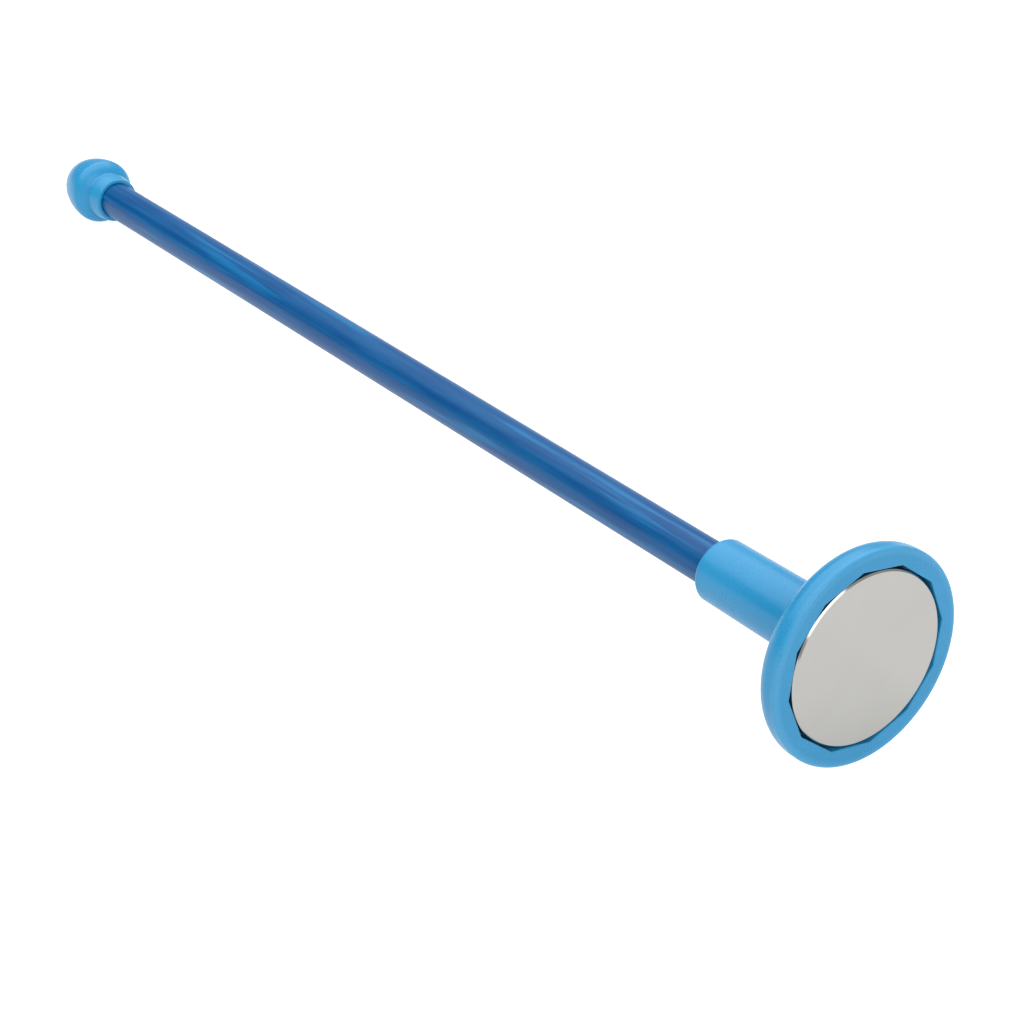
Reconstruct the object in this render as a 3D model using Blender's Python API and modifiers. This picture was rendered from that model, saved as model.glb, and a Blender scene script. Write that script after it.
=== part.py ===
"""Magnetic alignment rod: a disc magnet in a moulded flange, a round fibre rod and a ball cap.

The rod's axis is the world X axis. The magnet's face is at X = 0 and looks along +X, and the ball is at -X.
"""

import math

import bmesh
import bpy

# Lengths are in millimetres until MM turns them into metres.
MM = 0.001

# Driving dimensions
MAGNET_RADIUS = 12.5
MAGNET_THICKNESS = 2.0
MAGNET_CHAMFER = 0.15
FLANGE_RADIUS = 15.6
FLANGE_THICKNESS = 4.4
ROD_RADIUS = 3.25
OVERALL_LENGTH = 221.5
GAP = 0.2  # clearance between neighbouring pieces

# Head: flange, pocket and hub
FLANGE_FRONT_EDGE = 0.6
FLANGE_BACK_EDGE = 2.8
POCKET_SIDES = 12
POCKET_FLAT_RADIUS = MAGNET_RADIUS + GAP
POCKET_TURN = 5.0  # degrees from +Y to the first corner
GLUE_THICKNESS = 0.4
GLUE_RADIUS = 10.5
POCKET_DEPTH = MAGNET_THICKNESS + GAP + GLUE_THICKNESS + GAP
HUB_END = 29.6
HUB_ROOT_RADIUS = 4.9
HUB_END_RADIUS = 4.7
HUB_ROOT_FILLET = 1.2
HUB_END_EDGE = 0.7
HEAD_SOCKET_FLOOR = 6.5
SOCKET_CHAMFER = 0.25
SOCKET_RADIUS = ROD_RADIUS + GAP

# Ball cap
CAP_MOUTH = 205.6
CAP_SOCKET_DEPTH = 9.4
COLLAR_FRONT_RADIUS = 4.05
COLLAR_BACK_RADIUS = 4.4
COLLAR_EDGE = 0.4
COLLAR_LENGTH = 2.9
GROOVE_RADIUS = 4.05
GROOVE_DEPTH = 3.5
BALL_RADIUS = 5.9
BALL_WIDEST = 6.4  # behind the mouth
BALL_BACK_REACH = 3.3
BALL_BACK_START = 4.3
NOSE_POWER = 1.85  # 2 is an ellipse, less is a more pointed egg

# Rod and its glue plugs
PLUG_LENGTH = 0.9
PLUG_INSET = 0.1
ROD_START = HEAD_SOCKET_FLOOR + GAP + PLUG_LENGTH + GAP
ROD_FINISH = CAP_MOUTH + CAP_SOCKET_DEPTH - GAP - PLUG_LENGTH - GAP
ROD_CHAMFER = 0.3

HEAD_SEGMENTS = 64
ROD_SEGMENTS = 32
BALL_SEGMENTS = 40
ARC_STEPS = 4
BALL_STEPS = 6
NOSE_STEPS = 11
SHARP_ANGLE = math.radians(35)


def clear_scene():
    for obj in list(bpy.data.objects):
        bpy.data.objects.remove(obj)


def collection(name):
    made = bpy.data.collections.new(name)
    bpy.context.scene.collection.children.link(made)
    return made


def plain_material(name, color, roughness, metallic=0.0):
    material = bpy.data.materials.new(name)
    material.use_nodes = True
    shader = material.node_tree.nodes["Principled BSDF"]
    shader.inputs["Base Color"].default_value = (*color, 1.0)
    shader.inputs["Roughness"].default_value = roughness
    shader.inputs["Metallic"].default_value = metallic
    material.diffuse_color = (*color, 1.0)
    return material


def arc(centre_radius, centre_z, radius, start, end, steps=ARC_STEPS):
    """Outline points (radius, z) round a centre. Angles are in degrees from straight outwards, up is 90."""
    points = []
    for step in range(steps + 1):
        angle = math.radians(start + (end - start) * step / steps)
        points.append((centre_radius + radius * math.cos(angle), centre_z + radius * math.sin(angle)))
    return points


def turned(name, outline, segments, depth, material, axis, parts):
    """A solid turned about the axis empty's Z from an outline that runs down its outer side."""
    mesh = bpy.data.meshes.new(name)
    corner = MM / math.cos(math.pi / segments)  # so that the flats, not the corners, have the radius
    points = [(radius * corner, 0.0, z * MM) for radius, z in outline]
    mesh.from_pydata(points, [(i, i + 1) for i in range(len(points) - 1)], [])
    mesh.materials.append(material)
    obj = bpy.data.objects.new(name, mesh)
    parts.objects.link(obj)
    obj.parent = axis
    obj.location.z = -depth * MM
    obj.rotation_euler.z = math.pi / segments  # a flat, not a corner, faces down
    screw = obj.modifiers.new("Turn", "SCREW")
    screw.axis = "Z"
    screw.angle = 2 * math.pi
    screw.steps = segments
    screw.render_steps = segments
    screw.use_merge_vertices = True
    screw.merge_threshold = 1e-6
    return shaded_smooth(obj)


def shaded_smooth(obj):
    """Turns the modifiers into plain mesh, smooth but for its real edges."""
    bpy.context.view_layer.update()
    graph = bpy.context.evaluated_depsgraph_get()
    mesh = bpy.data.meshes.new_from_object(obj.evaluated_get(graph))
    obj.modifiers.clear()
    obj.data = mesh
    mesh.shade_smooth()
    mesh.set_sharp_from_angle(angle=SHARP_ANGLE)
    return obj


def head_holder(material, axis, parts, cutters):
    """One moulding: the flange, the hub behind it with the rod's blind socket, and the pocket in front."""
    back = -FLANGE_THICKNESS
    outline = [(0.0, 0.0)]
    outline += arc(FLANGE_RADIUS - FLANGE_FRONT_EDGE, -FLANGE_FRONT_EDGE, FLANGE_FRONT_EDGE, 90, 0)
    outline += arc(FLANGE_RADIUS - FLANGE_BACK_EDGE, back + FLANGE_BACK_EDGE, FLANGE_BACK_EDGE, 0, -90)
    outline += arc(HUB_ROOT_RADIUS + HUB_ROOT_FILLET, back - HUB_ROOT_FILLET, HUB_ROOT_FILLET, 90, 180)
    outline += arc(HUB_END_RADIUS - HUB_END_EDGE, HUB_END_EDGE - HUB_END, HUB_END_EDGE, 0, -90)
    outline += [
        (SOCKET_RADIUS + SOCKET_CHAMFER, -HUB_END),
        (SOCKET_RADIUS, SOCKET_CHAMFER - HUB_END),
        (SOCKET_RADIUS, -HEAD_SOCKET_FLOOR),
        (0.0, -HEAD_SOCKET_FLOOR),
    ]
    head = turned("head_holder", outline, HEAD_SEGMENTS, 0.0, material, axis, parts)
    pocket = head.modifiers.new("Pocket", "BOOLEAN")
    pocket.operation = "DIFFERENCE"
    pocket.solver = "EXACT"
    pocket.object = pocket_cutter(axis, cutters)
    return head


def pocket_cutter(axis, cutters):
    """A twelve-sided prism whose flats clear the magnet, reaching out past the flange's face."""
    reach = 2.0
    corner_radius = POCKET_FLAT_RADIUS / math.cos(math.pi / POCKET_SIDES)
    mesh = bpy.data.meshes.new("pocket_cutter")
    shape = bmesh.new()
    bmesh.ops.create_cone(
        shape,
        cap_ends=True,
        segments=POCKET_SIDES,
        radius1=corner_radius * MM,
        radius2=corner_radius * MM,
        depth=(POCKET_DEPTH + reach) * MM,
    )
    bmesh.ops.recalc_face_normals(shape, faces=shape.faces)
    shape.to_mesh(mesh)
    shape.free()
    cutter = bpy.data.objects.new("pocket_cutter", mesh)
    cutters.objects.link(cutter)
    cutter.parent = axis
    cutter.location.z = (reach - POCKET_DEPTH) / 2 * MM
    cutter.rotation_euler.z = math.radians(POCKET_TURN)
    cutter.hide_render = True
    cutter.display_type = "WIRE"
    return cutter


def disc_magnet(material, axis, parts):
    top = -MAGNET_CHAMFER
    bottom = -MAGNET_THICKNESS
    outline = [
        (0.0, 0.0),
        (MAGNET_RADIUS - MAGNET_CHAMFER, 0.0),
        (MAGNET_RADIUS, top),
        (MAGNET_RADIUS, bottom + MAGNET_CHAMFER),
        (MAGNET_RADIUS - MAGNET_CHAMFER, bottom),
        (0.0, bottom),
    ]
    return turned("disc_magnet", outline, HEAD_SEGMENTS, 0.0, material, axis, parts)


def round_slab(name, radius, thickness, depth, material, axis, parts):
    outline = [(0.0, 0.0), (radius, 0.0), (radius, -thickness), (0.0, -thickness)]
    return turned(name, outline, ROD_SEGMENTS, depth, material, axis, parts)


def glue(material, axis, parts):
    """The bed under the magnet, and a plug at the blind end of each socket."""
    bed_depth = MAGNET_THICKNESS + GAP
    round_slab("magnet_glue", GLUE_RADIUS, GLUE_THICKNESS, bed_depth, material, axis, parts)
    plug_radius = SOCKET_RADIUS - PLUG_INSET
    round_slab("head_glue", plug_radius, PLUG_LENGTH, HEAD_SOCKET_FLOOR + GAP, material, axis, parts)
    round_slab("cap_glue", plug_radius, PLUG_LENGTH, ROD_FINISH + GAP, material, axis, parts)


def rod(material, axis, parts):
    length = ROD_FINISH - ROD_START
    outline = [
        (0.0, 0.0),
        (ROD_RADIUS - ROD_CHAMFER, 0.0),
        (ROD_RADIUS, -ROD_CHAMFER),
        (ROD_RADIUS, ROD_CHAMFER - length),
        (ROD_RADIUS - ROD_CHAMFER, -length),
        (0.0, -length),
    ]
    return turned("rod", outline, ROD_SEGMENTS, ROD_START, material, axis, parts)


def ball_back():
    """The ball's shoulder, an ellipse from the groove out to its widest circle."""
    start = math.asin(BALL_BACK_START / BALL_RADIUS)
    points = []
    for step in range(BALL_STEPS):
        angle = start + (math.pi / 2 - start) * step / BALL_STEPS
        depth = BALL_WIDEST - BALL_BACK_REACH * math.cos(angle)
        points.append((BALL_RADIUS * math.sin(angle), -depth))
    return points


def ball_nose():
    """The far end, a little more pointed than an ellipse, from the widest circle to the tip."""
    reach = OVERALL_LENGTH - CAP_MOUTH - BALL_WIDEST
    points = []
    for step in range(NOSE_STEPS):
        angle = math.pi / 2 * step / NOSE_STEPS
        radius = BALL_RADIUS * math.cos(angle) ** (2 / NOSE_POWER)
        points.append((radius, -BALL_WIDEST - reach * math.sin(angle) ** (2 / NOSE_POWER)))
    points.append((0.0, -BALL_WIDEST - reach))
    return points


def ball_cap(material, axis, parts):
    """One moulding: a stepped neck with the rod's blind socket, and the ball."""
    outline = [
        (0.0, -CAP_SOCKET_DEPTH),
        (SOCKET_RADIUS, -CAP_SOCKET_DEPTH),
        (SOCKET_RADIUS, 0.0),
    ]
    outline += arc(COLLAR_FRONT_RADIUS - COLLAR_EDGE, -COLLAR_EDGE, COLLAR_EDGE, 90, 0)
    outline += [(COLLAR_BACK_RADIUS, -COLLAR_LENGTH), (GROOVE_RADIUS, -GROOVE_DEPTH)]
    outline += ball_back()
    outline += ball_nose()
    return turned("ball_cap", outline, BALL_SEGMENTS, CAP_MOUTH, material, axis, parts)


def main():
    clear_scene()
    parts = collection("magnetic_alignment_rod")
    cutters = collection("cutters")
    cutters.hide_render = True

    axis = bpy.data.objects.new("rod_axis", None)
    axis.rotation_euler.y = math.pi / 2  # its Z points along world +X
    parts.objects.link(axis)

    moulded = plain_material("light_blue_plastic", (0.07, 0.37, 0.72), 0.38)
    plated = plain_material("nickel_plate", (0.60, 0.59, 0.57), 0.12, 1.0)
    fibre = plain_material("blue_fibre_rod", (0.02, 0.11, 0.37), 0.35)
    adhesive = plain_material("clear_glue", (0.75, 0.72, 0.62), 0.30)

    head_holder(moulded, axis, parts, cutters)
    disc_magnet(plated, axis, parts)
    glue(adhesive, axis, parts)
    rod(fibre, axis, parts)
    ball_cap(moulded, axis, parts)


main()
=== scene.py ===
import math

import bmesh
import bpy
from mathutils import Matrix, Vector


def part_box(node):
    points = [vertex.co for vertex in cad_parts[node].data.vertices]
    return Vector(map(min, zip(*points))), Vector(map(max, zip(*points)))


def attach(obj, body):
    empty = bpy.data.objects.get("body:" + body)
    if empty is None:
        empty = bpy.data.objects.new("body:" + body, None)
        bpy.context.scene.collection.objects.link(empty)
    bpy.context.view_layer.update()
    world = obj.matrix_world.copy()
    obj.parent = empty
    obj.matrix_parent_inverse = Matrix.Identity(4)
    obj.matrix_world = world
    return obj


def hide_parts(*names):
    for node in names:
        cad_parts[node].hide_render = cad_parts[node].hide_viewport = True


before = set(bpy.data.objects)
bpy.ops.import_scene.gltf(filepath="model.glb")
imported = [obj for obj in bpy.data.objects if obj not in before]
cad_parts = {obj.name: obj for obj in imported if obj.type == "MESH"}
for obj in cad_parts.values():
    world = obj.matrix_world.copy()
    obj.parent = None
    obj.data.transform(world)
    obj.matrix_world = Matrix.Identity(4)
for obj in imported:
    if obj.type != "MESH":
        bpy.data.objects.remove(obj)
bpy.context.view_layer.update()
mm = 0.001
print("frame loaded with", len(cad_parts), "solids")


# small helpers for node trees

def addNode(tree, kind, inputs=None, **settings):
    node = tree.nodes.new(kind)
    for name, value in settings.items():
        setattr(node, name, value)
    for socket, value in (inputs or {}).items():
        if isinstance(value, bpy.types.NodeSocket):
            tree.links.new(value, node.inputs[socket])
        else:
            node.inputs[socket].default_value = value
    return node


def calc(tree, operation, *values):
    return addNode(tree, "ShaderNodeMath", dict(enumerate(values)), operation=operation).outputs[0]


def wholeCalc(tree, operation, *values):
    return addNode(tree, "FunctionNodeIntegerMath", dict(enumerate(values)), operation=operation).outputs[0]


def fitRange(tree, value, low, high, newLow, newHigh):
    inputs = {0: value, 1: low, 2: high, 3: newLow, 4: newHigh}
    return addNode(tree, "ShaderNodeMapRange", inputs).outputs[0]


def mixColor(tree, share, first, second):
    inputs = {0: share, 6: first, 7: second}
    return addNode(tree, "ShaderNodeMix", inputs, data_type="RGBA").outputs[2]


def newGroup(name, kind, inputs, outputs):
    tree = bpy.data.node_groups.new(name, kind)
    for label, socket, value in inputs:
        made = tree.interface.new_socket(label, in_out="INPUT", socket_type=socket)
        if value is not None:
            made.default_value = value
    for label, socket in outputs:
        tree.interface.new_socket(label, in_out="OUTPUT", socket_type=socket)
    return tree, tree.nodes.new("NodeGroupInput").outputs, tree.nodes.new("NodeGroupOutput").inputs


# Geometry Nodes: turns an outline about the X axis. A point's pocketShare makes its ring many-sided.

def makeTurningTree():
    tree, given, out = newGroup(
        "turned about X",
        "GeometryNodeTree",
        [
            ("Outline", "NodeSocketGeometry", None),
            ("Segments", "NodeSocketInt", 96),
            ("Pocket Sides", "NodeSocketInt", 12),
            ("Pocket Turn", "NodeSocketFloat", 0.0),  # radians from +Y to the first corner
            ("Weld", "NodeSocketFloat", 0.000001),
            ("Material", "NodeSocketMaterial", None),
        ],
        [("Solid", "NodeSocketGeometry")],
    )
    size = addNode(tree, "GeometryNodeAttributeDomainSize", {0: given["Outline"]}, component="MESH")
    columns = wholeCalc(tree, "ADD", given["Segments"], 1)
    grid = addNode(
        tree,
        "GeometryNodeMeshGrid",
        {"Vertices X": size.outputs["Point Count"], "Vertices Y": columns},
    )
    index = addNode(tree, "GeometryNodeInputIndex").outputs[0]
    row = wholeCalc(tree, "DIVIDE_FLOOR", index, columns)
    column = wholeCalc(tree, "MODULO", index, columns)

    place = addNode(tree, "GeometryNodeInputPosition").outputs[0]
    placeAtRow = addNode(
        tree,
        "GeometryNodeSampleIndex",
        {"Geometry": given["Outline"], "Value": place, "Index": row},
        data_type="FLOAT_VECTOR",
    )
    along = addNode(tree, "ShaderNodeSeparateXYZ", {0: placeAtRow.outputs[0]})
    share = addNode(tree, "GeometryNodeInputNamedAttribute", {"Name": "pocketShare"}, data_type="FLOAT")
    shareAtRow = addNode(
        tree,
        "GeometryNodeSampleIndex",
        {"Geometry": given["Outline"], "Value": share.outputs[0], "Index": row},
        data_type="FLOAT",
    )

    fromCorner = calc(tree, "MULTIPLY", calc(tree, "DIVIDE", column, given["Segments"]), math.tau)
    side = calc(tree, "DIVIDE", math.tau, given["Pocket Sides"])
    pastCorner = calc(tree, "FLOORED_MODULO", fromCorner, side)
    fromFlat = calc(tree, "SUBTRACT", pastCorner, calc(tree, "DIVIDE", side, 2.0))
    reach = calc(tree, "DIVIDE", 1.0, calc(tree, "COSINE", fromFlat))
    widened = calc(tree, "MULTIPLY_ADD", calc(tree, "SUBTRACT", reach, 1.0), shareAtRow.outputs[0], 1.0)
    radius = calc(tree, "MULTIPLY", along.outputs["Y"], widened)
    angle = calc(tree, "ADD", fromCorner, given["Pocket Turn"])
    ring = addNode(
        tree,
        "ShaderNodeCombineXYZ",
        {
            0: along.outputs["X"],
            1: calc(tree, "MULTIPLY", radius, calc(tree, "COSINE", angle)),
            2: calc(tree, "MULTIPLY", radius, calc(tree, "SINE", angle)),
        },
    )
    shaped = addNode(
        tree,
        "GeometryNodeSetPosition",
        {"Geometry": grid.outputs[0], "Position": ring.outputs[0]},
    )
    welded = addNode(
        tree,
        "GeometryNodeMergeByDistance",
        {"Geometry": shaped.outputs[0], "Distance": given["Weld"]},
    )
    real = addNode(tree, "GeometryNodeRealizeInstances", {"Geometry": welded.outputs[0]})
    painted = addNode(
        tree,
        "GeometryNodeSetMaterial",
        {"Geometry": real.outputs[0], "Material": given["Material"]},
    )
    tree.links.new(painted.outputs[0], out["Solid"])
    return tree


turningTree = makeTurningTree()
sharpAngle = math.radians(27)
weldReach = 0.001 * mm


def turnedPiece(name, outline, material, segments, pocketSides=12, pocketTurn=0.0):
    mesh = bpy.data.meshes.new(name)
    points = [(x * mm, radius * mm, 0.0) for x, radius, _ in outline]
    mesh.from_pydata(points, [(i, i + 1) for i in range(len(points) - 1)], [])
    share = mesh.attributes.new("pocketShare", "FLOAT", "POINT")
    share.data.foreach_set("value", [cornered for _, _, cornered in outline])
    piece = bpy.data.objects.new(name, mesh)
    bpy.context.scene.collection.objects.link(piece)

    turning = piece.modifiers.new("turning", "NODES")
    turning.node_group = turningTree
    values = {
        "Segments": segments,
        "Pocket Sides": pocketSides,
        "Pocket Turn": pocketTurn,
        "Weld": weldReach,
        "Material": material,
    }
    for item in turningTree.interface.items_tree:
        if item.item_type == "SOCKET" and item.in_out == "INPUT" and item.name in values:
            turning[item.identifier] = values[item.name]
    graph = bpy.context.evaluated_depsgraph_get()
    made = bpy.data.meshes.new_from_object(piece.evaluated_get(graph))
    piece.modifiers.clear()
    piece.data = made

    solid = bmesh.new()
    solid.from_mesh(made)
    bmesh.ops.remove_doubles(solid, verts=solid.verts, dist=weldReach)
    bmesh.ops.recalc_face_normals(solid, faces=solid.faces)
    if solid.calc_volume(signed=True) < 0:
        bmesh.ops.reverse_faces(solid, faces=solid.faces)
    openEdges = sum(not edge.is_manifold for edge in solid.edges)
    solid.to_mesh(made)
    solid.free()
    made.shade_smooth()
    made.set_sharp_from_angle(angle=sharpAngle)
    print(name, "has", len(made.polygons), "faces and", openEdges, "open edges")
    return piece


# Outlines are lists of (x, radius, pocketShare) in millimetres, from the piece's front end to its back end.

def bend(x, radius, size, start, end, steps=8, share=0.0):
    # degrees: 90 looks to the front, 0 outwards, -90 to the back and 180 to the axis
    angles = [math.radians(start + (end - start) * step / steps) for step in range(steps + 1)]
    return [(x + size * math.sin(angle), radius + size * math.cos(angle), share) for angle in angles]


def between(first, second, share):
    return tuple(a + (b - a) * share for a, b in zip(first, second))


def heldFlats(points, hold=0.03):
    # a ring close to each end of a long straight keeps the shading of a flat face flat
    held = [points[0]]
    for before, after in zip(points, points[1:]):
        length = math.dist(before[:2], after[:2])
        if length > 10 * hold:
            if before[1] > 10 * hold:
                held.append(between(before, after, hold / length))
            if after[1] > 10 * hold:
                held.append(between(before, after, 1 - hold / length))
        held.append(after)
    return held


def softened(points, times=3):
    for _ in range(times):
        cut = [points[0]]
        for before, after in zip(points, points[1:]):
            cut += [between(before, after, 0.25), between(before, after, 0.75)]
        points = cut + [points[-1]]
    return points


# Shader groups that several finishes share

mouldSkinLook = {
    "grainDetail": 4.0,
    "cloudDetail": 3.0,
    "cloudRange": (0.3, 0.7),
    "speckShare": 0.12,  # of the grain's scale
    "speckRange": (0.04, 0.09),
}


def makeMouldSkin():
    tree, given, out = newGroup(
        "mould skin",
        "ShaderNodeTree",
        [
            ("Vector", "NodeSocketVector", None),
            ("Grain Scale", "NodeSocketFloat", 2600.0),
            ("Cloud Scale", "NodeSocketFloat", 90.0),
        ],
        [("Grain", "NodeSocketFloat"), ("Cloud", "NodeSocketFloat"), ("Speck", "NodeSocketFloat")],
    )
    look = mouldSkinLook
    vector = given["Vector"]
    grainInputs = {"Vector": vector, "Scale": given["Grain Scale"], "Detail": look["grainDetail"]}
    grain = addNode(tree, "ShaderNodeTexNoise", grainInputs)
    cloudInputs = {"Vector": vector, "Scale": given["Cloud Scale"], "Detail": look["cloudDetail"]}
    cloud = addNode(tree, "ShaderNodeTexNoise", cloudInputs)
    speckScale = calc(tree, "MULTIPLY", given["Grain Scale"], look["speckShare"])
    speck = addNode(tree, "ShaderNodeTexVoronoi", {"Vector": vector, "Scale": speckScale})
    tree.links.new(grain.outputs[0], out["Grain"])
    tree.links.new(fitRange(tree, cloud.outputs[0], *look["cloudRange"], 0.0, 1.0), out["Cloud"])
    tree.links.new(fitRange(tree, speck.outputs["Distance"], *look["speckRange"], 1.0, 0.0), out["Speck"])
    return tree


def makeHairlines():
    # thin straight rubs: the middle band of a noise that is stretched along one direction
    tree, given, out = newGroup(
        "hairline rubs",
        "ShaderNodeTree",
        [
            ("Vector", "NodeSocketVector", None),
            ("Stretch", "NodeSocketVector", (40.0, 900.0, 900.0)),
            ("Turn", "NodeSocketVector", (0.0, 0.0, 0.0)),
            ("Line Width", "NodeSocketFloat", 0.012),
        ],
        [("Rubs", "NodeSocketFloat")],
    )
    inputs = {"Vector": given["Vector"], "Rotation": given["Turn"], "Scale": given["Stretch"]}
    mapped = addNode(tree, "ShaderNodeMapping", inputs)
    noise = addNode(tree, "ShaderNodeTexNoise", {"Vector": mapped.outputs[0], "Scale": 1.0, "Detail": 1.0})
    off = calc(tree, "ABSOLUTE", calc(tree, "SUBTRACT", noise.outputs[0], 0.5))
    tree.links.new(fitRange(tree, off, 0.0, given["Line Width"], 1.0, 0.0), out["Rubs"])
    return tree


mouldSkin = makeMouldSkin()
hairlines = makeHairlines()


def newMaterial(name):
    material = bpy.data.materials.new(name)
    material.use_nodes = True
    tree = material.node_tree
    return material, tree, tree.nodes["Principled BSDF"]


def objectPlace(tree):
    return addNode(tree, "ShaderNodeTexCoord").outputs["Object"]


def placeGroup(tree, group, values):
    node = tree.nodes.new("ShaderNodeGroup")
    node.node_tree = group
    for name, value in values.items():
        if isinstance(value, bpy.types.NodeSocket):
            tree.links.new(value, node.inputs[name])
        else:
            node.inputs[name].default_value = value
    return node.outputs


def addBump(tree, shader, height, strength, distance):
    bump = addNode(tree, "ShaderNodeBump", {"Height": height, "Strength": strength, "Distance": distance})
    tree.links.new(bump.outputs[0], shader.inputs["Normal"])


skyPlastic = {
    "deep": (0.024, 0.298, 0.585, 1.0),
    "light": (0.030, 0.324, 0.628, 1.0),
    # this lighter colour tints both the real hairline rubs and a painted highlight ring along the flange's
    # front edge
    "rubsAndPaintedHighlight": (0.090, 0.400, 0.690, 1.0),
    "paintedHighlightRim": (-0.0003, 0.0152),  # x and radius of the flange's front edge, where a lighter ring is painted as a highlight
    "paintedHighlightWidth": (0.0002, 0.0008),
    "paintedHighlightShare": 0.6,
    "skin": {"Grain Scale": 2600.0, "Cloud Scale": 90.0},
    "rubs": {"Stretch": (120.0, 700.0, 260.0), "Turn": (0.4, 0.7, 0.2), "Line Width": 0.008},
    "rubShare": 0.12,
    "rubDepth": -0.4,
    "satin": (0.22, 0.28),
    "grainSatin": 0.05,
    "grain": 0.02,
    "grainHeight": 0.1 * mm,
    "ior": 1.43,
}


def makeSkyPlastic():
    look = skyPlastic
    material, tree, shader = newMaterial("sky blue moulded plastic")
    place = objectPlace(tree)
    skin = placeGroup(tree, mouldSkin, {"Vector": place, **look["skin"]})
    rubs = placeGroup(tree, hairlines, {"Vector": place, **look["rubs"]})["Rubs"]
    body = mixColor(tree, skin["Cloud"], look["deep"], look["light"])
    spot = addNode(tree, "ShaderNodeSeparateXYZ", {0: place}).outputs
    squares = [calc(tree, "POWER", spot[axis], 2.0) for axis in (1, 2)]
    radius = calc(tree, "SQRT", calc(tree, "ADD", *squares))
    off = addNode(tree, "ShaderNodeCombineXYZ", {0: spot[0], 1: radius}).outputs[0]
    # painted highlight: a lighter ring along the flange's front edge, mixed with the hairline rubs, which
    # are real wear
    edge = (*look["paintedHighlightRim"], 0.0)
    apart = addNode(tree, "ShaderNodeVectorMath", {0: off, 1: edge}, operation="DISTANCE")
    rim = fitRange(tree, apart.outputs["Value"], *look["paintedHighlightWidth"], look["paintedHighlightShare"], 0.0)
    wearAndPaintedHighlight = calc(tree, "MAXIMUM", rim, calc(tree, "MULTIPLY", rubs, look["rubShare"]))
    tree.links.new(mixColor(tree, wearAndPaintedHighlight, body, look["rubsAndPaintedHighlight"]), shader.inputs["Base Color"])
    satin = fitRange(tree, skin["Cloud"], 0.0, 1.0, *look["satin"])
    rough = calc(tree, "ADD", satin, calc(tree, "MULTIPLY", skin["Grain"], look["grainSatin"]))
    tree.links.new(rough, shader.inputs["Roughness"])
    height = calc(tree, "MULTIPLY_ADD", rubs, look["rubDepth"], skin["Grain"])
    addBump(tree, shader, height, look["grain"], look["grainHeight"])
    shader.inputs["IOR"].default_value = look["ior"]
    return material


nickelPlate = {
    "clean": (0.524, 0.517, 0.495, 1.0),
    "dull": (0.507, 0.500, 0.479, 1.0),
    "skin": {"Grain Scale": 5200.0, "Cloud Scale": 140.0},
    "rubs": {"Stretch": (900.0, 90.0, 1100.0), "Turn": (0.9, 0.0, 0.0), "Line Width": 0.010},
    "polish": (0.14, 0.18),
    "rubPolish": 0.06,
    "rubDepth": -0.3,
    "grain": 0.03,
    "grainHeight": 0.02 * mm,
}


def makeNickelPlate():
    look = nickelPlate
    material, tree, shader = newMaterial("satin nickel plate")
    place = objectPlace(tree)
    skin = placeGroup(tree, mouldSkin, {"Vector": place, **look["skin"]})
    rubs = placeGroup(tree, hairlines, {"Vector": place, **look["rubs"]})["Rubs"]
    plate = mixColor(tree, skin["Cloud"], look["clean"], look["dull"])
    tree.links.new(plate, shader.inputs["Base Color"])
    polish = fitRange(tree, skin["Cloud"], 0.0, 1.0, *look["polish"])
    tree.links.new(calc(tree, "MULTIPLY_ADD", rubs, look["rubPolish"], polish), shader.inputs["Roughness"])
    shader.inputs["Metallic"].default_value = 1.0
    height = calc(tree, "MULTIPLY_ADD", rubs, look["rubDepth"], skin["Grain"])
    addBump(tree, shader, height, look["grain"], look["grainHeight"])
    return material


dyedFibre = {
    "deep": (0.001, 0.076, 0.262, 1.0),
    "middle": (0.002, 0.112, 0.315, 1.0),
    "bright": (0.006, 0.200, 0.480, 1.0),
    "streakStretch": (60.0, 1500.0, 1500.0),
    "streakDetail": 3.0,
    "streakRange": (0.35, 0.65),
    "patchStretch": (28.0, 950.0, 950.0),
    "patchDetail": 2.0,
    "patchRange": (0.55, 0.68),
    "patchShare": 0.7,
    "rubs": {"Stretch": (60.0, 1300.0, 1300.0), "Turn": (0.0, 0.0, 0.0), "Line Width": 0.02},
    "gloss": (0.28, 0.36),
    "glossRange": (0.3, 0.7),
    "rubGloss": 0.05,
    "rubDepth": -0.3,
    "strand": 0.12,
    "strandHeight": 0.05 * mm,
    "ior": 1.34,
}


def stretchedNoise(tree, place, stretch, detail):
    mapped = addNode(tree, "ShaderNodeMapping", {"Vector": place, "Scale": stretch})
    noise = {"Vector": mapped.outputs[0], "Scale": 1.0, "Detail": detail}
    return addNode(tree, "ShaderNodeTexNoise", noise).outputs[0]


def makeDyedFibre():
    look = dyedFibre
    material, tree, shader = newMaterial("dyed fibre rod")
    place = objectPlace(tree)
    streaks = stretchedNoise(tree, place, look["streakStretch"], look["streakDetail"])
    patches = stretchedNoise(tree, place, look["patchStretch"], look["patchDetail"])
    dark = fitRange(tree, streaks, *look["streakRange"], 0.0, 1.0)
    body = mixColor(tree, dark, look["deep"], look["middle"])
    lit = calc(tree, "MULTIPLY", fitRange(tree, patches, *look["patchRange"], 0.0, 1.0), look["patchShare"])
    tree.links.new(mixColor(tree, lit, body, look["bright"]), shader.inputs["Base Color"])
    rubs = placeGroup(tree, hairlines, {"Vector": place, **look["rubs"]})["Rubs"]
    gloss = fitRange(tree, streaks, *look["glossRange"], *look["gloss"])
    tree.links.new(calc(tree, "MULTIPLY_ADD", rubs, look["rubGloss"], gloss), shader.inputs["Roughness"])
    height = calc(tree, "MULTIPLY_ADD", rubs, look["rubDepth"], streaks)
    addBump(tree, shader, height, look["strand"], look["strandHeight"])
    shader.inputs["IOR"].default_value = look["ior"]
    return material


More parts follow.
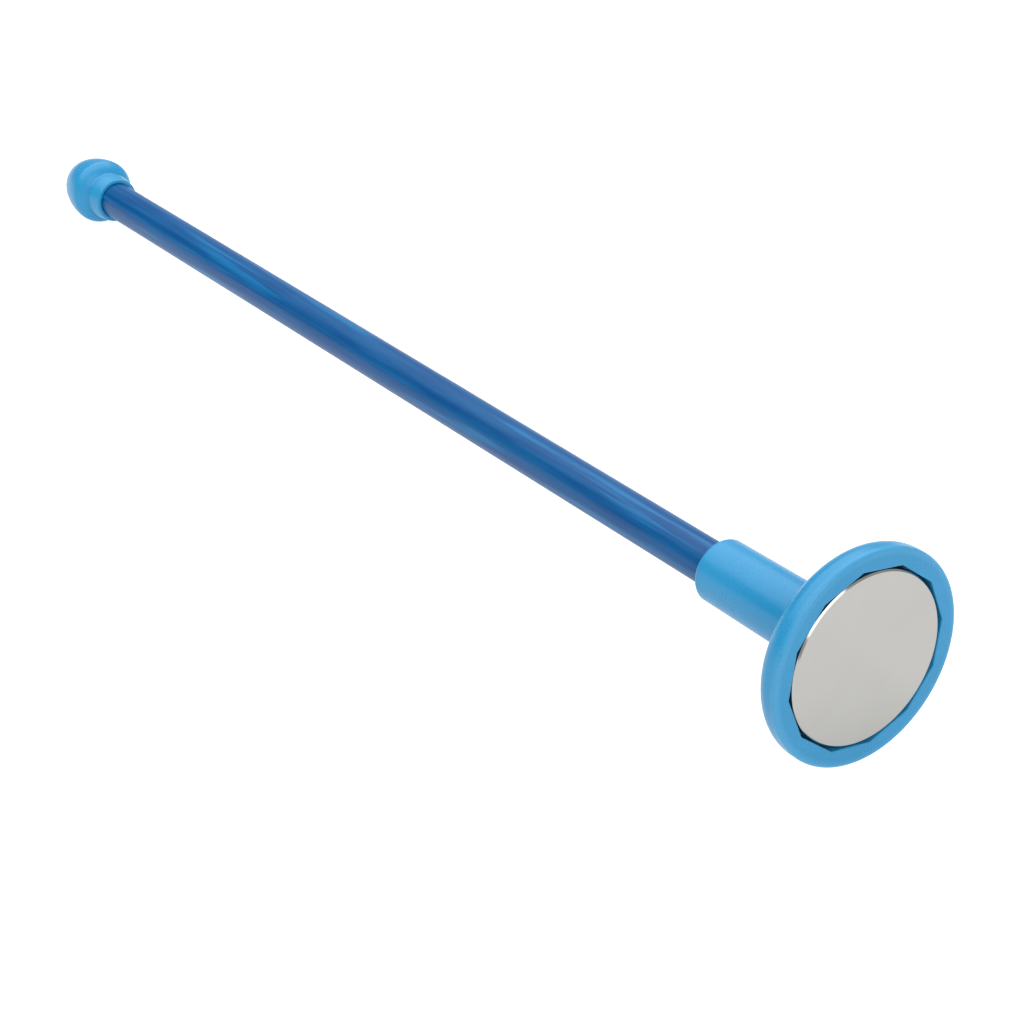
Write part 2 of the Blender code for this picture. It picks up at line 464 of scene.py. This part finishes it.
curedGlue = {
    "clear": (0.62, 0.58, 0.46, 1.0),
    "cloudy": (0.80, 0.78, 0.70, 1.0),
    "skin": {"Grain Scale": 900.0, "Cloud Scale": 320.0},
    "cloudShare": 0.5,
    "gloss": (0.18, 0.34),
    "grain": 0.25,
    "grainHeight": 0.1 * mm,
}


def makeCuredGlue():
    look = curedGlue
    material, tree, shader = newMaterial("cured glue")
    skin = placeGroup(tree, mouldSkin, {"Vector": objectPlace(tree), **look["skin"]})
    bubbly = mixColor(tree, skin["Speck"], look["clear"], look["cloudy"])
    cloud = calc(tree, "MULTIPLY", skin["Cloud"], look["cloudShare"])
    tree.links.new(mixColor(tree, cloud, bubbly, look["cloudy"]), shader.inputs["Base Color"])
    gloss = fitRange(tree, skin["Cloud"], 0.0, 1.0, *look["gloss"])
    tree.links.new(gloss, shader.inputs["Roughness"])
    addBump(tree, shader, skin["Grain"], look["grain"], look["grainHeight"])
    return material


plastic = makeSkyPlastic()
nickel = makeNickelPlate()
fibre = makeDyedFibre()
cured = makeCuredGlue()
print("finishes made")


# The head: a flange with a many-sided pocket for the magnet, and the hub that holds the rod

headLow, headHigh = (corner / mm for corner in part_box("head_holder"))
head = {
    "flangeThickness": 4.4,
    "frontEdge": 0.6,
    "backEdge": 2.8,
    "pocketDepth": 2.8,
    "pocketReach": 12.7,  # to the middle of a side
    "pocketSides": 12,
    "pocketTurn": 5.0,  # degrees
    "mouthEdge": 0.15,
    "rootRadius": 4.9,
    "rootFillet": 1.2,
    "endRadius": 4.7,
    "endEdge": 0.7,
    "socketFloor": 6.5,
    "socketRadius": 3.3,  # a hairline round the rod; the glue plug stands 0.05 into this wall
    "socketEdge": 0.25,
    "segments": 240,
}


def headOutline():
    rim = headHigh.z
    end = headLow.x
    back = -head["flangeThickness"]
    edge = head["mouthEdge"]
    reach = head["pocketReach"]
    floor = -head["pocketDepth"]
    root = head["rootRadius"] + head["rootFillet"]
    points = [(floor, 0.0, 1.0), (floor, reach, 1.0)]
    points += bend(-edge, reach + edge, edge, 180, 90, steps=5, share=1.0)
    points += bend(-head["frontEdge"], rim - head["frontEdge"], head["frontEdge"], 90, 0, steps=12)
    points += bend(back + head["backEdge"], rim - head["backEdge"], head["backEdge"], 0, -90, steps=14)
    points += bend(back - head["rootFillet"], root, head["rootFillet"], 90, 180, steps=12)
    endEdge = head["endEdge"]
    points += bend(end + endEdge, head["endRadius"] - endEdge, endEdge, 0, -90, steps=12)
    points += [
        (end, head["socketRadius"] + head["socketEdge"], 0.0),
        (end + head["socketEdge"], head["socketRadius"], 0.0),
        (-head["socketFloor"], head["socketRadius"], 0.0),
        (-head["socketFloor"], 0.0, 0.0),
    ]
    return heldFlats(points)


pocketTurn = math.radians(head["pocketTurn"])
headMoulding = turnedPiece(
    "head_moulding", headOutline(), plastic, head["segments"], head["pocketSides"], pocketTurn
)


# The plated disc magnet

magnetLow, magnetHigh = (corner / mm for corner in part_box("disc_magnet"))
magnet = {"chamfer": 0.22, "segments": 240}


def magnetOutline():
    chamfer = magnet["chamfer"]
    radius = magnetHigh.z
    points = [
        (magnetHigh.x, 0.0, 0.0),
        (magnetHigh.x, radius - chamfer, 0.0),
        (magnetHigh.x - chamfer, radius, 0.0),
        (magnetLow.x + chamfer, radius, 0.0),
        (magnetLow.x, radius - chamfer, 0.0),
        (magnetLow.x, 0.0, 0.0),
    ]
    return heldFlats(points)


magnetDisc = turnedPiece("magnet_disc", magnetOutline(), nickel, magnet["segments"])


# The rod

rodLow, rodHigh = (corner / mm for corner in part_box("rod"))
rod = {"edge": 0.3, "segments": 128, "rings": 60}


def rodOutline():
    edge = rod["edge"]
    radius = rodHigh.z - edge
    front = rodHigh.x - edge
    back = rodLow.x + edge
    points = [(rodHigh.x, 0.0, 0.0)]
    points += bend(front, radius, edge, 90, 0, steps=5)
    points += [(front + (back - front) * i / rod["rings"], rodHigh.z, 0.0) for i in range(1, rod["rings"])]
    points += bend(back, radius, edge, 0, -90, steps=5)
    points += [(rodLow.x, 0.0, 0.0)]
    return points


fibreRod = turnedPiece("fibre_rod", rodOutline(), fibre, rod["segments"])


# The ball cap: a collar round the rod, a groove and the ball

capLow, capHigh = (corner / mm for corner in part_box("ball_cap"))
cap = {
    "socketDepth": 9.4,
    "socketRadius": 3.29,  # a hairline round the rod; the glue plug stands 0.06 into this wall
    "mouthEdge": 0.1,
    "collarFront": 4.05,
    "collarBack": 4.4,
    "collarEdge": 0.4,
    "collarLength": 2.9,
    "grooveRadius": 3.85,
    "grooveDepth": 3.5,
    "widest": 6.4,  # behind the mouth
    "backReach": 3.3,
    "backStart": 4.15,
    "nosePower": 1.85,  # 2 is an ellipse, less is more pointed
    "taperLength": 0.8,  # where the collar's back starts to round off
    "taperShare": 0.3,
    "shoulderSteps": 24,
    "noseSteps": 40,
    "tipRoom": 0.002,
    "segments": 160,
}


def capOutline():
    mouth = capHigh.x
    ball = capHigh.z
    widest = mouth - cap["widest"]
    reach = widest - capLow.x
    floor = mouth - cap["socketDepth"]
    edge = cap["mouthEdge"]
    points = [(floor, 0.0, 0.0), (floor, cap["socketRadius"], 0.0)]
    points += bend(mouth - edge, cap["socketRadius"] + edge, edge, 180, 90, steps=4)
    collar = cap["collarFront"] - cap["collarEdge"]
    points += bend(mouth - cap["collarEdge"], collar, cap["collarEdge"], 90, 0, steps=10)
    collarEnd = mouth - cap["collarLength"]
    taper = cap["collarBack"] + (cap["collarFront"] - cap["collarBack"]) * cap["taperShare"]
    neck = [
        (collarEnd + cap["taperLength"], taper, 0.0),
        (collarEnd, cap["collarBack"], 0.0),
        (mouth - cap["grooveDepth"], cap["grooveRadius"], 0.0),
    ]
    start = math.asin(cap["backStart"] / ball)
    shoulder = []
    for step in range(cap["shoulderSteps"] + 1):
        angle = start + (math.pi / 2 - start) * step / cap["shoulderSteps"]
        shoulder.append((widest + cap["backReach"] * math.cos(angle), ball * math.sin(angle), 0.0))
    points += softened(neck + shoulder[:3]) + shoulder[3:]
    power = 2 / cap["nosePower"]
    for step in range(1, cap["noseSteps"] + 1):
        angle = math.pi / 2 * step / cap["noseSteps"]
        points.append((widest - reach * math.sin(angle) ** power, ball * math.cos(angle) ** power, 0.0))
    points[-1] = (capLow.x + cap["tipRoom"], 0.0, 0.0)
    return heldFlats(points)


capMoulding = turnedPiece("ball_cap_moulding", capOutline(), plastic, cap["segments"])
print("pieces turned")

for piece, node, slotName in (
    (headMoulding, "head_holder", "moulded_plastic"),
    (magnetDisc, "disc_magnet", "magnet_plating"),
    (fibreRod, "rod", "fibre_rod"),
    (capMoulding, "ball_cap", "moulded_plastic"),
):
    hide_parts(node)
    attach(piece, "root")

for node in ("magnet_glue", "head_glue", "cap_glue"):
    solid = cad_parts[node]
    solid.data.materials.clear()
    solid.data.materials.append(cured)


# The tool lies on its flange's rim and on its ball, so the floor tips a little from the rod

paleFloor = {
    "halfSize": 4.0,  # metres
    "clearance": 0.02,  # millimetres below the tool
    "grey": (0.45, 0.45, 0.45, 1.0),
    "roughness": 0.9,
    "glow": (0.55, 0.9),  # a light table: what lights the tool, and what is seen
}


def makeFloor():
    look = paleFloor
    rim = (head["backEdge"] - head["flangeThickness"], headHigh.z)
    ball = (capHigh.x - cap["widest"], capHigh.z)
    tip = math.atan2(rim[1] - ball[1], rim[0] - ball[0])
    level = rim[0] * math.sin(tip) - rim[1] * math.cos(tip) - look["clearance"]
    along = (math.cos(tip), -math.sin(tip))
    middle = (math.sin(tip) * level * mm, math.cos(tip) * level * mm)
    half = look["halfSize"]
    corners = []
    for x, y in ((-half, -half), (half, -half), (half, half), (-half, half)):
        corners.append((middle[0] + along[0] * x, y, middle[1] + along[1] * x))
    mesh = bpy.data.meshes.new("floor")
    mesh.from_pydata(corners, [], [(0, 1, 2, 3)])
    floor = bpy.data.objects.new("floor", mesh)
    bpy.context.scene.collection.objects.link(floor)
    material, tree, shader = newMaterial("pale floor")
    shader.inputs["Base Color"].default_value = look["grey"]
    shader.inputs["Roughness"].default_value = look["roughness"]
    shader.inputs["Specular IOR Level"].default_value = 0.0
    shader.inputs["Emission Color"].default_value = (1.0, 1.0, 1.0, 1.0)
    seen = addNode(tree, "ShaderNodeLightPath").outputs["Is Camera Ray"]
    tree.links.new(fitRange(tree, seen, 0.0, 1.0, *look["glow"]), shader.inputs["Emission Strength"])
    mesh.materials.append(material)


makeFloor()


# Soft studio light

softboxes = {
    "overhead": {"place": (-0.55, 0.0, 1.0), "aim": (-0.55, 0.0, 0.0), "size": (1.5, 2.4), "power": 20.0},
    "key": {"place": (0.80, -0.26, 0.58), "aim": (0.0, 0.0, 0.0), "size": (0.8, 0.64), "power": 3.3},
}

studioWorld = {
    "brightSide": (0.77, 0.64, 0.0),
    "sides": (-0.85, -0.15),
    "strength": (0.08, 0.44),
    "seen": 1.0,
}


def lightStudio():
    for name, box in softboxes.items():
        light = bpy.data.lights.new(name, "AREA")
        light.shape = "RECTANGLE"
        light.size, light.size_y = box["size"]
        light.energy = box["power"]
        lamp = bpy.data.objects.new(name, light)
        lamp.location = box["place"]
        aim = [a - b for a, b in zip(box["aim"], box["place"])]
        lamp.rotation_euler = Vector(aim).to_track_quat("-Z", "Y").to_euler()
        bpy.context.scene.collection.objects.link(lamp)
    world = bpy.data.worlds.new("studio")
    world.use_nodes = True
    tree = world.node_tree
    background = tree.nodes["Background"]
    background.inputs["Color"].default_value = (1.0, 1.0, 1.0, 1.0)
    # the room is dim to the left behind the tool and pale elsewhere
    toward = addNode(tree, "ShaderNodeTexCoord").outputs["Generated"]
    inputs = {0: toward, 1: studioWorld["brightSide"]}
    side = addNode(tree, "ShaderNodeVectorMath", inputs, operation="DOT_PRODUCT")
    room = fitRange(tree, side.outputs["Value"], *studioWorld["sides"], *studioWorld["strength"])
    seen = addNode(tree, "ShaderNodeLightPath").outputs["Is Camera Ray"]
    strength = fitRange(tree, seen, 0.0, 1.0, room, studioWorld["seen"])
    tree.links.new(strength, background.inputs["Strength"])
    bpy.context.scene.world = world


lightStudio()

cameraView = {
    "place": (0.2026, -0.1933, 0.1736),
    "turn": (61.446, 1.731, 54.607),  # degrees
    "lens": 89.48,
    "sensor": 36.0,
    "nearest": 0.01,
}


def placeCamera():
    lens = bpy.data.cameras.new("camera")
    lens.lens = cameraView["lens"]
    lens.sensor_width = cameraView["sensor"]
    lens.clip_start = cameraView["nearest"]
    camera = bpy.data.objects.new("camera", lens)
    camera.location = cameraView["place"]
    camera.rotation_euler = [math.radians(angle) for angle in cameraView["turn"]]
    bpy.context.scene.collection.objects.link(camera)
    bpy.context.scene.camera = camera


placeCamera()
bpy.context.scene.view_settings.view_transform = "Standard"
print("floor, light and camera placed")
